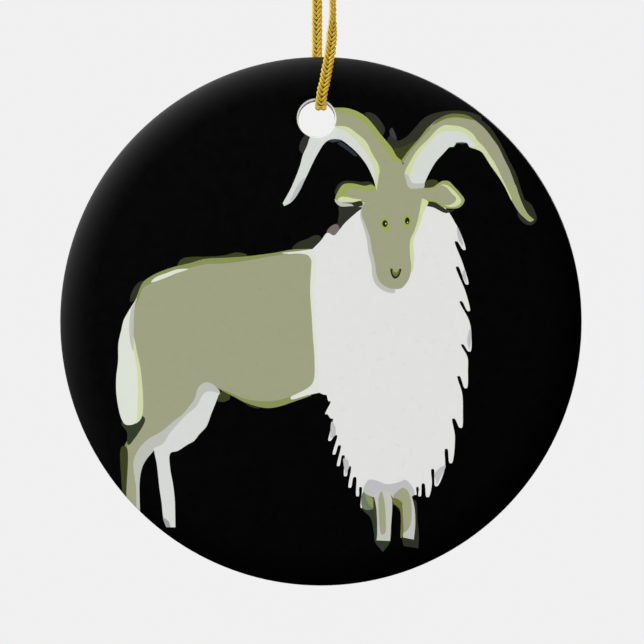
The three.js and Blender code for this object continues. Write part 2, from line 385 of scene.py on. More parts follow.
def braid_tree(yarn_material, gap_shade_material):
    """Yarns that cross from edge to edge of a flat braid along a path, each over the others on its
    way in and under them on its way out, round three straight filler yarns."""
    tree = bpy.data.node_groups.new("flat_braid", "GeometryNodeTree")
    tree.interface.new_socket("Geometry", in_out="INPUT", socket_type="NodeSocketGeometry")
    for name, kind in (
        ("Yarns", "Int"),
        ("Plait length", "Float"),
        ("Half width", "Float"),
        ("Half depth", "Float"),
        ("Yarn radius", "Float"),
        ("Core spread", "Float"),
        ("Core radius", "Float"),
    ):
        tree.interface.new_socket(name, in_out="INPUT", socket_type="NodeSocket" + kind)
    tree.interface.new_socket("Geometry", in_out="OUTPUT", socket_type="NodeSocketGeometry")
    given = add_node(tree, "NodeGroupInput").outputs
    path = add_node(tree, "GeometryNodeMeshToCurve", {"Mesh": given["Geometry"]}).outputs["Curve"]
    across, facing, arc, splay = (
        add_node(
            tree, "GeometryNodeInputNamedAttribute", {"Name": name}, data_type=kind
        ).outputs["Attribute"]
        for name, kind in (
            ("across", "FLOAT_VECTOR"),
            ("facing", "FLOAT_VECTOR"),
            ("arc", "FLOAT"),
            ("splay", "FLOAT"),
        )
    )

    def math_of(operation, *values):
        return add_node(
            tree, "ShaderNodeMath", dict(enumerate(values)), operation=operation
        ).outputs[0]

    copies = add_node(
        tree,
        "GeometryNodeDuplicateElements",
        {"Geometry": path, "Amount": given["Yarns"]},
        domain="SPLINE",
    )
    phase = math_of(
        "ADD",
        math_of("DIVIDE", arc, given["Plait length"]),
        math_of("DIVIDE", copies.outputs["Duplicate Index"], given["Yarns"]),
    )
    swing = math_of("COSINE", math_of("MULTIPLY", phase, math.tau))
    angle = math_of("ARCSINE", math_of("MULTIPLY", swing, YARN_CORNER))
    sideways = math_of("DIVIDE", angle, math.asin(YARN_CORNER))
    sideways = math_of("MULTIPLY", math_of("MULTIPLY", sideways, given["Half width"]), splay)
    through = math_of("SINE", math_of("MULTIPLY", phase, 2 * math.tau))
    through = math_of("MULTIPLY", math_of("MULTIPLY", through, given["Half depth"]), splay)
    shift = add_node(
        tree,
        "ShaderNodeVectorMath",
        {
            0: add_node(
                tree, "ShaderNodeVectorMath", {0: across, "Scale": sideways}, operation="SCALE"
            ).outputs[0],
            1: add_node(
                tree, "ShaderNodeVectorMath", {0: facing, "Scale": through}, operation="SCALE"
            ).outputs[0],
        },
        operation="ADD",
    ).outputs[0]
    # Hand-wound yarns lie a little unevenly, a few hundredths of a millimetre off their line.
    uneven = add_node(
        tree,
        "ShaderNodeTexNoise",
        {"Scale": 1 / UNEVEN_LENGTH, "Detail": 1.0, "W": copies.outputs["Duplicate Index"]},
        noise_dimensions="4D",
    ).outputs["Color"]
    centred = add_node(
        tree, "ShaderNodeVectorMath", {0: uneven, 1: (0.5, 0.5, 0.5)}, operation="SUBTRACT"
    ).outputs[0]
    wander = add_node(
        tree, "ShaderNodeVectorMath", {0: centred, "Scale": UNEVEN_REACH}, operation="SCALE"
    ).outputs[0]
    shift = add_node(
        tree, "ShaderNodeVectorMath", {0: shift, 1: wander}, operation="ADD"
    ).outputs[0]
    cores = add_node(
        tree, "GeometryNodeDuplicateElements", {"Geometry": path, "Amount": 3}, domain="SPLINE"
    )
    offset = math_of(
        "MULTIPLY", math_of("SUBTRACT", cores.outputs["Duplicate Index"], 1), given["Core spread"]
    )
    core_shift = add_node(
        tree, "ShaderNodeVectorMath", {0: across, "Scale": offset}, operation="SCALE"
    ).outputs[0]
    parts = []
    # The filler yarns carry the dark material that paints the shade in the braid's gaps.
    for curve, move, radius, sides, material in (
        (copies.outputs["Geometry"], shift, given["Yarn radius"], 8, yarn_material),
        (cores.outputs["Geometry"], core_shift, given["Core radius"], 6, gap_shade_material),
    ):
        moved = add_node(tree, "GeometryNodeSetPosition", {"Geometry": curve, "Offset": move})
        ring = add_node(
            tree, "GeometryNodeCurvePrimitiveCircle", {"Resolution": sides, "Radius": radius}
        )
        tube = add_node(
            tree,
            "GeometryNodeCurveToMesh",
            {"Curve": moved.outputs[0], "Profile Curve": ring.outputs["Curve"], "Fill Caps": True},
        )
        smooth = add_node(tree, "GeometryNodeSetShadeSmooth", {"Geometry": tube.outputs[0]})
        real = add_node(tree, "GeometryNodeRealizeInstances", {"Geometry": smooth.outputs[0]})
        parts.append(
            add_node(
                tree,
                "GeometryNodeSetMaterial",
                {"Geometry": real.outputs[0], "Material": material},
            ).outputs[0]
        )
    join = add_node(tree, "GeometryNodeJoinGeometry")
    for part in parts:
        tree.links.new(part, join.inputs[0])
    add_node(tree, "NodeGroupOutput", {0: join.outputs[0]})
    return tree


def braid(name, points, start, sizes, tree, splay_ends=(False, False)):
    """One stretch of the braid as a plain mesh, with its centreline and length."""
    place, across, facing, marks = sample(points, sizes.step)
    splay = np.ones(len(marks))
    for at_end, distance in zip(splay_ends, (marks, marks[-1] - marks)):
        if at_end:
            splay += FRAY_SPREAD * np.clip(1 - distance / FRAY_LENGTH, 0, 1) ** 2
    mesh = bpy.data.meshes.new(name)
    mesh.from_pydata(place.tolist(), [(i, i + 1) for i in range(len(place) - 1)], [])
    for key, kind, values in (
        ("across", "FLOAT_VECTOR", across),
        ("facing", "FLOAT_VECTOR", facing),
        ("arc", "FLOAT", marks + start),
        ("splay", "FLOAT", splay),
    ):
        layer = mesh.attributes.new(key, kind, "POINT")
        layer.data.foreach_set(
            "vector" if kind == "FLOAT_VECTOR" else "value", values.astype(np.float32).ravel()
        )
    piece = link_object(name, mesh)
    modifier = piece.modifiers.new("flat_braid", "NODES")
    modifier.node_group = tree
    values = {
        "Yarns": sizes.yarns,
        "Plait length": sizes.plait,
        "Half width": (sizes.width - sizes.yarn) / 2,
        "Half depth": (sizes.depth - sizes.yarn) / 2,
        "Yarn radius": sizes.yarn / 2,
        "Core spread": sizes.width * 0.26,
        "Core radius": sizes.depth * 0.25,
    }
    for item in tree.interface.items_tree:
        if item.in_out == "INPUT" and item.name in values:
            modifier[item.identifier] = values[item.name]
    solid = bpy.data.meshes.new_from_object(
        piece.evaluated_get(bpy.context.evaluated_depsgraph_get())
    )
    piece.modifiers.remove(modifier)
    piece.data = solid
    solid.name = name
    bpy.data.meshes.remove(mesh)
    for key in ("across", "facing", "splay"):
        layer = solid.attributes.get(key)
        if layer:
            solid.attributes.remove(layer)
    if not solid.polygons:
        raise RuntimeError(f"{name}: the braid came out empty")
    return piece, place, float(marks[-1])


WORN_SHARE = 0.82  # brightness of worn foil, as a share of the yarn's colour
BRIGHT_SHARE = 1.2  # and of foil that is still bright
FOIL_TURN = 0.16 * MM  # length of one turn of foil along the yarn


def foil_yarn(colour):
    """Lame yarn: gold-coloured metallised polyester foil wound round a thread. The foil is bright
    metal, broken by the ridges of its turns, a little darker where it is worn and handled."""
    material, tree, output = new_material("gold_foil_wrapped_yarn")
    arc = add_node(tree, "ShaderNodeAttribute", attribute_name="arc").outputs["Fac"]
    where = add_node(tree, "ShaderNodeTexCoord").outputs["Object"]
    turns = add_node(tree, "ShaderNodeMath", {0: arc, 1: math.tau / FOIL_TURN}, operation="MULTIPLY")
    ridge = add_node(tree, "ShaderNodeMath", {0: turns.outputs[0]}, operation="SINE")
    # Creases in the foil are about 0.25 mm across.
    crease = add_node(
        tree,
        "ShaderNodeTexNoise",
        {"Vector": where, "Scale": 1 / (0.25 * MM), "Detail": 3.0, "Roughness": 0.6},
    )
    height = add_node(
        tree,
        "ShaderNodeMath",
        {0: ridge.outputs[0], 1: 0.25, 2: crease.outputs[0]},
        operation="MULTIPLY_ADD",
    )
    bump = add_node(
        tree,
        "ShaderNodeBump",
        {"Strength": 0.35, "Distance": 0.04 * MM, "Height": height.outputs[0]},
    )
    worn = add_node(
        tree, "ShaderNodeTexNoise", {"Vector": where, "Scale": 1 / (0.7 * MM), "Detail": 2.0}
    )
    tint = mixed(
        tree,
        worn.outputs[0],
        rgba([c * WORN_SHARE for c in colour]),
        rgba([min(1.0, c * BRIGHT_SHARE) for c in colour]),
    )
    shader = add_node(
        tree,
        "ShaderNodeBsdfPrincipled",
        {
            "Base Color": tint,
            "Metallic": 0.45,
            "Roughness": 0.3,
            "Normal": bump.outputs[0],
        },
    )
    tree.links.new(shader.outputs[0], output.inputs[0])
    return material


def filler_yarn(colour):
    """Spun polyester filler yarn, matt and dark brown, seen only in the gaps of the braid; its dark
    colour is painted shade, standing in for the shade between the yarns.
    """
    material, tree, output = new_material("painted_gap_shade_filler")
    where = add_node(tree, "ShaderNodeTexCoord").outputs["Object"]
    fuzz = add_node(
        tree, "ShaderNodeTexNoise", {"Vector": where, "Scale": 1 / (0.12 * MM), "Detail": 3.0}
    )
    ramp = add_node(tree, "ShaderNodeValToRGB", {0: fuzz.outputs[0]})
    ramp.color_ramp.elements[0].color = rgba([c * 0.55 for c in colour])
    ramp.color_ramp.elements[1].color = rgba(colour)
    bump = add_node(
        tree,
        "ShaderNodeBump",
        {"Strength": 0.5, "Distance": 0.03 * MM, "Height": fuzz.outputs[0]},
    )
    shader = add_node(
        tree,
        "ShaderNodeBsdfPrincipled",
        {"Base Color": ramp.outputs[0], "Roughness": 0.8, "Normal": bump.outputs[0]},
    )
    tree.links.new(shader.outputs[0], output.inputs[0])
    return material


class ORNAMENT_OT_cord(bpy.types.Operator):
    """Plait the gold cord: the bight through the hole, and each strand up through the knot"""

    bl_idname = "ornament.cord"
    bl_label = "Braided cord"

    def execute(self, context):
        sizes = context.scene.ornament_cord
        tree = braid_tree(foil_yarn(sizes.gold), filler_yarn(sizes.core))
        route = [Vector(p) for p in ROUTE]
        middle = len(route) // 2
        strands = {}
        for front, run in ((True, route[: middle + 1]), (False, route[: middle - 1 : -1])):
            # The strand from the top down to the bight's middle, and the place where it is cut.
            last = max(i for i, p in enumerate(run) if p.z > SPLIT_Z)
            share = (run[last].z - SPLIT_Z) / (run[last].z - run[last + 1].z)
            cut = run[last].lerp(run[last + 1], share)
            strands[front] = [
                [(p, strand_across(p, front)) for p in part]
                for part in (run[: last + 1] + [cut], [cut] + run[last + 1 :])
            ]
        lower = strands[True][1] + strands[False][1][-2::-1]
        bight, bight_path, bight_length = braid("braid_bight", lower, PLAIT_START, sizes, tree)
        tails = {True: FRONT_TAIL, False: BACK_TAIL}
        uppers = {}
        for front, name in ((True, "braid_front_end"), (False, "braid_back_end")):
            side = -1 if front else 1
            up = (
                strands[front][0][::-1]
                + knot_run(side)
                + [(Vector(p), -X_WAY) for p in tails[front]]
            )
            if front:  # the plait runs on into the bight, so this end is measured back from it
                up = up[::-1]
                _, _, _, marks = sample(up, sizes.step)
                start = PLAIT_START - float(marks[-1])
            else:
                start = PLAIT_START + bight_length
            uppers[front] = braid(name, up, start, sizes, tree, (front, not front))
        front_end, front_path, front_length = uppers[True]
        back_end, back_path, back_length = uppers[False]

        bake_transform(bight)
        for end in (front_end, back_end):
            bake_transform(end)
        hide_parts("cord_bight")
        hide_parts("cord_front_strand", "cord_knot", "cord_front_tail")
        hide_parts("cord_back_strand", "cord_back_tail")
        return {"FINISHED"}


# ---------------------------------------------------------------- disc

RING_STEPS = 10
RING_SEGMENTS = 180
HOLE_STEPS = 5
HOLE_SEGMENTS = 72
FLAT_NORMAL = 0.9999  # a face whose normal lies this much along Y is flat


def disc_profile(sizes):
    """How far the face lies behind the flat of the disc, at a place measured from its centre."""
    radius = sizes.height / 2
    squeeze = sizes.width / sizes.height
    flat = radius - sizes.edge_round
    drop = (sizes.thickness - sizes.edge_band) / 2
    hole_centre = (-sizes.hole_x, radius - sizes.hole_below)
    hole_edge = sizes.hole / 2 + sizes.hole_round

    def depth(x, z):
        share = (math.hypot(x / squeeze, z) - flat) / sizes.edge_round
        if share > 0:
            return drop * (1 - math.sqrt(max(0.0, 1 - min(1.0, share) ** 2)))
        inset = (hole_edge - math.hypot(x - hole_centre[0], z - hole_centre[1])) / sizes.hole_round
        if inset > 0:
            return sizes.hole_round * (1 - math.sqrt(max(0.0, 1 - min(1.0, inset) ** 2)))
        return 0.0

    return depth


def outward(x, z, depth):
    """The way out of the front face at a place on it, from how the depth changes round it."""
    nudge = 0.01 * MM
    slope_x = (depth(x + nudge, z) - depth(x - nudge, z)) / (2 * nudge)
    slope_z = (depth(x, z + nudge) - depth(x, z - nudge)) / (2 * nudge)
    return Vector((slope_x, -1, slope_z)).normalized()


def ring(centre, across, up, count):
    """Points of an ellipse, anticlockwise."""
    return [
        (
            centre[0] + across * math.cos(math.tau * i / count),
            centre[1] + up * math.sin(math.tau * i / count),
        )
        for i in range(count)
    ]


def rim_rings(sizes):
    """Rings on the flat face, and from the start of the round edge out to the rim."""
    squeeze = sizes.width / sizes.height
    rings = []
    flat = sizes.height / 2 - sizes.edge_round
    for share, count in ((0.3, 40), (0.6, 80), (0.85, 120), (0.975, RING_SEGMENTS)):
        rings.append(ring((0, 0), flat * share * squeeze, flat * share, count))
    for i in range(RING_STEPS + 1):
        angle = math.pi / 2 * i / RING_STEPS
        radius = sizes.height / 2 - sizes.edge_round * (1 - math.sin(angle))
        rings.append(ring((0, 0), radius * squeeze, radius, RING_SEGMENTS))
    return rings


def shade(mesh):
    """Smooth shading where the disc is round, and none on its flats, so that they stay plane."""
    mesh.shade_smooth()
    for polygon in mesh.polygons:
        if abs(polygon.normal.y) > FLAT_NORMAL:
            polygon.use_smooth = False


def triangulate(loops):
    """Triangles that keep every edge of the closed loops, anticlockwise."""
    points, edges = [], []
    for loop in loops:
        first = len(points)
        points += [Vector(p) for p in loop]
        edges += [(first + i, first + (i + 1) % len(loop)) for i in range(len(loop))]
    found = delaunay_2d_cdt(points, edges, [], 0, 1e-8)
    places, triangles = found[0], found[2]
    made = []
    for a, b, c in triangles:
        p, q, r = places[a], places[b], places[c]
        area = (q.x - p.x) * (r.y - p.y) - (q.y - p.y) * (r.x - p.x)
        made.append((a, b, c) if area > 0 else (a, c, b))
    return places, made


def inside(loop, xs, zs):
    """Which of the points lie inside a closed loop."""
    hit = np.zeros(len(xs), bool)
    for (x1, z1), (x2, z2) in zip(loop, loop[1:] + loop[:1]):
        if z1 == z2:
            continue
        crosses = (z1 > zs) != (z2 > zs)
        hit ^= crosses & (xs < (x2 - x1) * (zs - z1) / (z2 - z1) + x1)
    return hit


def centres(places, triangles):
    """Middles of the triangles, as two rows."""
    flat = np.array([(p.x, p.y) for p in places])
    middle = flat[np.array(triangles)].mean(1)
    return middle[:, 0], middle[:, 1]


def fired_glaze(colour):
    """Tin-white glaze over cast earthenware, dipped and fired: a glassy coat with a faint orange
    peel, a little uneven in tone where it is thicker, and a few pinholes."""
    material, tree, output = new_material("white_fired_glaze")
    where = add_node(tree, "ShaderNodeTexCoord").outputs["Object"]
    # Orange peel is about 1.6 mm across, pinholes about 0.2 mm.
    peel = add_node(
        tree, "ShaderNodeTexNoise", {"Vector": where, "Scale": 1 / (1.6 * MM), "Detail": 2.0}
    )
    pool = add_node(
        tree, "ShaderNodeTexNoise", {"Vector": where, "Scale": 1 / (14 * MM), "Detail": 2.0}
    )
    specks = add_node(tree, "ShaderNodeTexVoronoi", {"Vector": where, "Scale": 1 / (5.5 * MM)})
    pin = add_node(
        tree, "ShaderNodeMath", {0: specks.outputs["Distance"], 1: 0.022}, operation="LESS_THAN"
    )
    tone = add_node(tree, "ShaderNodeValToRGB", {0: pool.outputs[0]})
    tone.color_ramp.elements[0].color = rgba([c * f for c, f in zip(colour, (0.93, 0.93, 0.91))])
    tone.color_ramp.elements[1].color = rgba(colour)
    pinhole = rgba([c * f for c, f in zip(colour, (0.55, 0.5, 0.43))])
    spot = mixed(tree, pin.outputs[0], tone.outputs[0], pinhole)
    height = add_node(
        tree,
        "ShaderNodeMath",
        {0: pin.outputs[0], 1: -1.0, 2: peel.outputs[0]},
        operation="MULTIPLY_ADD",
    )
    bump = add_node(
        tree,
        "ShaderNodeBump",
        {"Strength": 0.12, "Distance": 0.05 * MM, "Height": height.outputs[0]},
    )
    shader = add_node(
        tree,
        "ShaderNodeBsdfPrincipled",
        {
            "Base Color": spot,
            "Roughness": 0.16,
            "IOR": 1.52,
            "Coat Weight": 0.4,
            "Coat Roughness": 0.05,
            "Normal": bump.outputs[0],
        },
    )
    tree.links.new(shader.outputs[0], output.inputs[0])
    return material


class ORNAMENT_OT_disc(bpy.types.Operator):
    """Cast the glazed ceramic disc with its round edge and soft-edged hanging hole"""

    bl_idname = "ornament.disc"
    bl_label = "Ceramic disc"

    def execute(self, context):
        sizes = context.scene.ornament_disc
        depth = disc_profile(sizes)
        hole_centre = (-sizes.hole_x, sizes.height / 2 - sizes.hole_below)
        hole_rings = []
        for i in range(HOLE_STEPS + 1):
            angle = math.pi / 2 * i / HOLE_STEPS
            radius = sizes.hole / 2 + sizes.hole_round * (1 - math.cos(angle))
            hole_rings.append(ring(hole_centre, radius, radius, HOLE_SEGMENTS))
        rings = rim_rings(sizes)
        places, triangles = triangulate([*rings, *hole_rings])
        xs, zs = centres(places, triangles)
        solid = inside(rings[-1], xs, zs) & ~inside(hole_rings[0], xs, zs)
        triangles = [t for t, keep in zip(triangles, solid) if keep]
        half = sizes.thickness / 2
        count = len(places)
        verts, faces = [], []
        for sign in (-1, 1):
            for p in places:
                verts.append(
                    (
                        DISC_CENTRE.x + p.x,
                        DISC_CENTRE.y + sign * (half - depth(p.x, p.y)),
                        DISC_CENTRE.z + p.y,
                    )
                )
        edges = set()
        for a, b, c in triangles:
            faces += [(a, b, c), (count + a, count + c, count + b)]
            edges.update(((a, b), (b, c), (c, a)))
        faces += [(b, a, count + a, count + b) for a, b in edges if (b, a) not in edges]
        mesh = bpy.data.meshes.new("glazed_disc")
        mesh.from_pydata(verts, [], faces)
        shell = bmesh.new()
        shell.from_mesh(mesh)
        bmesh.ops.delete(shell, geom=[v for v in shell.verts if not v.link_faces], context="VERTS")
        shell.to_mesh(mesh)
        shell.free()
        shade(mesh)
        disc = link_object("glazed_disc", mesh, fired_glaze(sizes.glaze))
        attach(disc, "ornament")
        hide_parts("ceramic_disc")
        return {"FINISHED"}


# ---------------------------------------------------------------- printed picture

# Outlines are in millimetres from the disc's centre, X then Z, and later shapes lie over earlier
# ones. A third number marks a sharp corner; the rest of an outline is a smooth curve.
LEFT_HORN_INNER = [
    (7.3, 19.7), (6.4, 21.6), (5.1, 23.3), (3.9, 24.4), (2.9, 25.1), (1.9, 25.3), (1, 25.1),
    (0.4, 24.6), (-0.6, 23), (-1.4, 21.4), (-2.1, 19.9), (-2.7, 18.7), (-3.6, 17.1),
    (-4.3, 16.4), (-5.1, 16, 1), (-5.3, 16.4, 1), (-4.9, 17.1), (-4.2, 18.4), (-3.5, 20),
    (-2.9, 21.6), (-2.5, 23.1), (-1.9, 24.4), (-1.5, 25.6),
]
RIGHT_HORN_INNER = [
    (28.2, 14.4), (27.5, 15.1), (26.5, 16.7), (25.6, 18.5), (24.7, 20), (23.5, 21.7),
    (22.4, 23.4), (21.5, 23.9), (20.6, 24.2), (20.3, 24.7), (18.8, 24.7), (18.4, 24.2),
    (17.9, 24.2), (17.1, 23.4), (16, 22.2), (15.2, 20.9), (14.4, 19.2), (14.2, 18.5, 1),
]
RIGHT_HORN_OUTER = [
    (11.2, 22.3, 1), (12.2, 23.7), (13.7, 25.4), (15.2, 27.2), (16.3, 28.1), (17.7, 28.7),
    (18.8, 28.8), (20.3, 28.6), (21.8, 27.6), (22.8, 26.7), (23.8, 25.4), (24.7, 24.1),
    (25.4, 22.6), (26.2, 21), (26.9, 19.1), (27.5, 17.5), (28.1, 16), (28.8, 14.8),
    (29.6, 14.1, 1), (29.1, 13.8),
]
FACE = [
    (5.8, 16), (5.65, 14.8), (6.1, 13.6), (6.8, 11.6), (7.1, 9.7), (7.5, 8.1), (7.7, 6.6),
    (8.15, 5.5), (9, 4.8), (10, 4.5), (11.1, 4.55), (11.8, 5.2), (12.3, 6.1), (12.55, 7.6),
    (12.4, 8.7), (12.4, 11.3), (12.9, 12.4), (13.4, 13.9), (13.7, 15.3), (13.95, 16.6, 1),
    (14.2, 18.5, 1), (12.3, 18.5), (11.6, 20.3, 1), (8.1, 20.6, 1), (7.7, 18.1, 1),
]
RIGHT_FRINGE = [
    (17.7, 15.2), (18.5, 13.9), (19.35, 12.3), (19.9, 9.9, 1), (18.75, 11.1, 1), (19.7, 8),
    (20.3, 5.1, 1), (18.9, 7.6, 1), (20.1, 4), (20.5, 1.4, 1), (19.4, 2.8, 1), (20.6, 0),
    (20.9, -2.2), (20.6, -4.2, 1), (19.6, -3.2, 1), (20.35, -5), (20.4, -6.7),
    (20.1, -9.3, 1), (19.1, -7.6, 1), (19.6, -10), (19.7, -12.4), (19.4, -14.8, 1),
    (18.4, -13.5, 1), (18.6, -16), (18, -19.7, 1), (17.4, -17.7, 1), (17.2, -20.4),
    (16, -22.9, 1), (15.5, -20.5, 1), (15.4, -22.6), (14.8, -24.4, 1), (14.2, -22.5, 1),
    (13.7, -24.3, 1), (13.4, -23, 1), (13.1, -24.1, 1),
]
LEFT_FRINGE = [
    (5.7, -25.9, 1), (5.5, -23, 1), (5.1, -24.3, 1), (4.7, -21.6, 1), (4, -23.1, 1),
    (4, -20.1, 1), (3.4, -21.5, 1), (3.1, -18.6, 1), (2.4, -20.1, 1), (2.6, -17.2, 1),
    (1.8, -18.5, 1), (2.1, -15.8, 1), (1.2, -16.6, 1), (1.5, -13.5, 1), (0.75, -12.9, 1),
    (1.2, -11.1, 1), (0.6, -10.2, 1), (-0.4, -9.9, 1),
]


def locks(points):
    """The fringe with each tip and each gap between locks made blunt."""
    made = []
    for x, z, *corner in points:
        made += [(x + 0.16, z), (x - 0.16, z)] if corner else [(x, z)]
    return made


BODY = [
    (-1.3, 8.4, 1), (-1.7, 9.1), (-3, 9.4), (-7, 9), (-10.4, 8.4), (-13.7, 8), (-16.1, 7.9),
    (-18.5, 7.3), (-21.3, 6), (-23.5, 5.3), (-24.6, 4.7), (-25.3, 3.1), (-25.9, 1.6),
    (-26.1, -0.8), (-25.9, -3.4), (-25.3, -5.1), (-25, -6.9), (-25.1, -14), (-25.4, -15.7),
    (-26.95, -17.6), (-27, -24.6, 1), (-25.6, -26.2, 1), (-25.6, -22.8), (-25.9, -21.5),
    (-26, -19.4), (-25.2, -17.6), (-23.9, -16.3), (-22, -15.2), (-20.4, -13.8),
    (-19.1, -12.8), (-18.2, -11.7), (-17.4, -10.4), (-16.9, -9.4), (-15.6, -8.9),
    (-13.8, -9.4), (-12.6, -9.9), (-10.4, -10.8), (-9.1, -11), (-7, -11.1), (-5, -10.7),
    (-3, -9.9), (-1.5, -9), (-1, -8.2), (-0.9, -5.1), (-1.1, -2.3), (-1.3, 1), (-1.5, 4.2),
]
